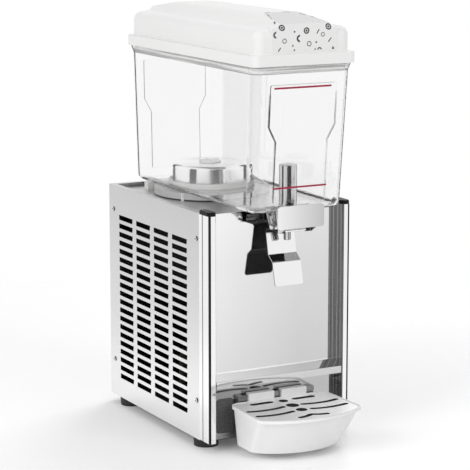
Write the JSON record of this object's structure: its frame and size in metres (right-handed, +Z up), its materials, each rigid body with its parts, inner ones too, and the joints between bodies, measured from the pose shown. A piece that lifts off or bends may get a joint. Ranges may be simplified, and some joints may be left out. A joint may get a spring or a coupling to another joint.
{
  "type": "cold drink dispenser",
  "caption": "Refrigerated drink dispenser with a louvred steel cabinet, clear bowl over a cooling drum, ridged lid, push lever tap and hooked drip tray.",
  "frame": {"origin": "middle of the footprint, on the floor under the feet and tray", "axes": "+Z up, front with the tap faces -Y, +X to the right seen from the front"},
  "size_m": [0.2686, 0.5296, 0.7205],
  "materials": {
    "steel_satin": "satin sheet",
    "steel_polished": "mirror polish",
    "steel_grey": "galvanised sheet",
    "white_plastic": "smooth moulded",
    "clear_plastic": "clear moulded",
    "black_plastic": "fine grain",
    "grey_plastic": "fine grain",
    "rubber_black": "moulded",
    "seal_white": "soft moulded",
    "black_metal": "black enamel",
    "copper": "drawn tube",
    "alu_fins": "mill finish",
    "red_plastic": "smooth moulded",
    "green_plastic": "smooth moulded"
  },
  "bodies": {
    "cabinet": {"base_pan": "steel_grey", "rear_panel": "steel_satin", "front_panel": "steel_polished", "lower_front_panel": "steel_polished", "vent_filters": "grey_plastic", "top_deck": "steel_satin", "deck_pads": "white_plastic", "deck_collar": "black_plastic", "panel_screws": "steel_polished", "tray_rail": "black_metal", "evaporator_drum": "steel_polished", "stirrer_motor": "steel_grey", "condenser": "alu_fins", "fan_shroud": "steel_grey", "fan_bracket": "steel_grey", "fan_motor": "black_metal", "compressor": "black_metal", "discharge_pipe": "copper", "suction_pipe": "copper", "filter_drier": "copper", "thermostat": "grey_plastic", "switch_bodies": "black_plastic", "power_inlet": "black_plastic", "left_side_panel": "steel_satin", "left_front_upright": "steel_grey", "left_rear_upright": "steel_grey", "left_front_post": "steel_polished", "left_corner_strip": "black_plastic", "left_post_cap": "black_plastic", "left_front_foot": "rubber_black", "left_rear_foot": "rubber_black", "right_side_panel": "steel_satin", "right_front_upright": "steel_grey", "right_rear_upright": "steel_grey", "right_front_post": "steel_polished", "right_corner_strip": "black_plastic", "right_post_cap": "black_plastic", "right_front_foot": "rubber_black", "right_rear_foot": "rubber_black"},
    "bowl": {"bowl": "clear_plastic", "bowl_seal": "seal_white", "tap_cover": "steel_polished", "pivot_pin": "steel_polished"},
    "lid": {"lid": "white_plastic"},
    "lever": {"push_lever": "steel_polished", "lever_backing": "black_plastic"},
    "valve": {"valve_plunger": "steel_polished", "plunger_seal": "seal_white", "stem_collar": "steel_polished"},
    "tray": {"drip_tray": "white_plastic"},
    "grille": {"drip_grille": "steel_satin"},
    "stirrer": {"stirrer_impeller": "white_plastic", "drive_magnet": "black_metal", "stirrer_shaft": "steel_grey"},
    "fan": {"fan_rotor": "black_plastic"},
    "knob": {"thermostat_knob": "black_plastic"},
    "stirrer_key": {"stirrer_rocker": "red_plastic"},
    "cooling_key": {"cooling_rocker": "green_plastic"}
  },
  "joints": [
    {"name": "bowl_lift", "type": "slide", "parent": "cabinet", "child": "bowl", "axis": [0, 0, 1], "range_m": [0, 0.075]},
    {"name": "lid_lift", "type": "slide", "parent": "bowl", "child": "lid", "axis": [0, 0, 1], "range_m": [0, 0.06]},
    {"name": "lever_push", "type": "hinge", "parent": "bowl", "child": "lever", "pos_m": [0, -0.1768, 0.3714], "axis": [1, 0, 0], "range_deg": [0, 15]},
    {"name": "plunger_lift", "type": "slide", "parent": "bowl", "child": "valve", "axis": [0, 0, 1], "range_m": [0, 0.0095]},
    {"name": "tray_lift", "type": "slide", "parent": "cabinet", "child": "tray", "axis": [0, 0, 1], "range_m": [0, 0.012]},
    {"name": "grille_lift", "type": "slide", "parent": "tray", "child": "grille", "axis": [0, 0, 1], "range_m": [0, 0.015]},
    {"name": "stirrer_spin", "type": "hinge", "parent": "cabinet", "child": "stirrer", "pos_m": [0, 0.1162, 0.445], "axis": [0, 0, 1], "continuous": true},
    {"name": "fan_spin", "type": "hinge", "parent": "cabinet", "child": "fan", "pos_m": [0, -0.0146, 0.1115], "axis": [0, 1, 0], "continuous": true},
    {"name": "thermostat_turn", "type": "hinge", "parent": "cabinet", "child": "knob", "pos_m": [0.08, 0.2532, 0.32], "axis": [0, 1, 0], "range_deg": [0, 270]},
    {"name": "stirrer_switch", "type": "hinge", "parent": "cabinet", "child": "stirrer_key", "pos_m": [0.01, 0.2532, 0.32], "axis": [1, 0, 0], "range_deg": [0, 16]},
    {"name": "cooling_switch", "type": "hinge", "parent": "cabinet", "child": "cooling_key", "pos_m": [0.04, 0.2532, 0.32], "axis": [1, 0, 0], "range_deg": [0, 16]}
  ],
  "couplings": [
    {"joint": "plunger_lift", "follows": "lever_push", "m_per_rad": 0.036}
  ]
}
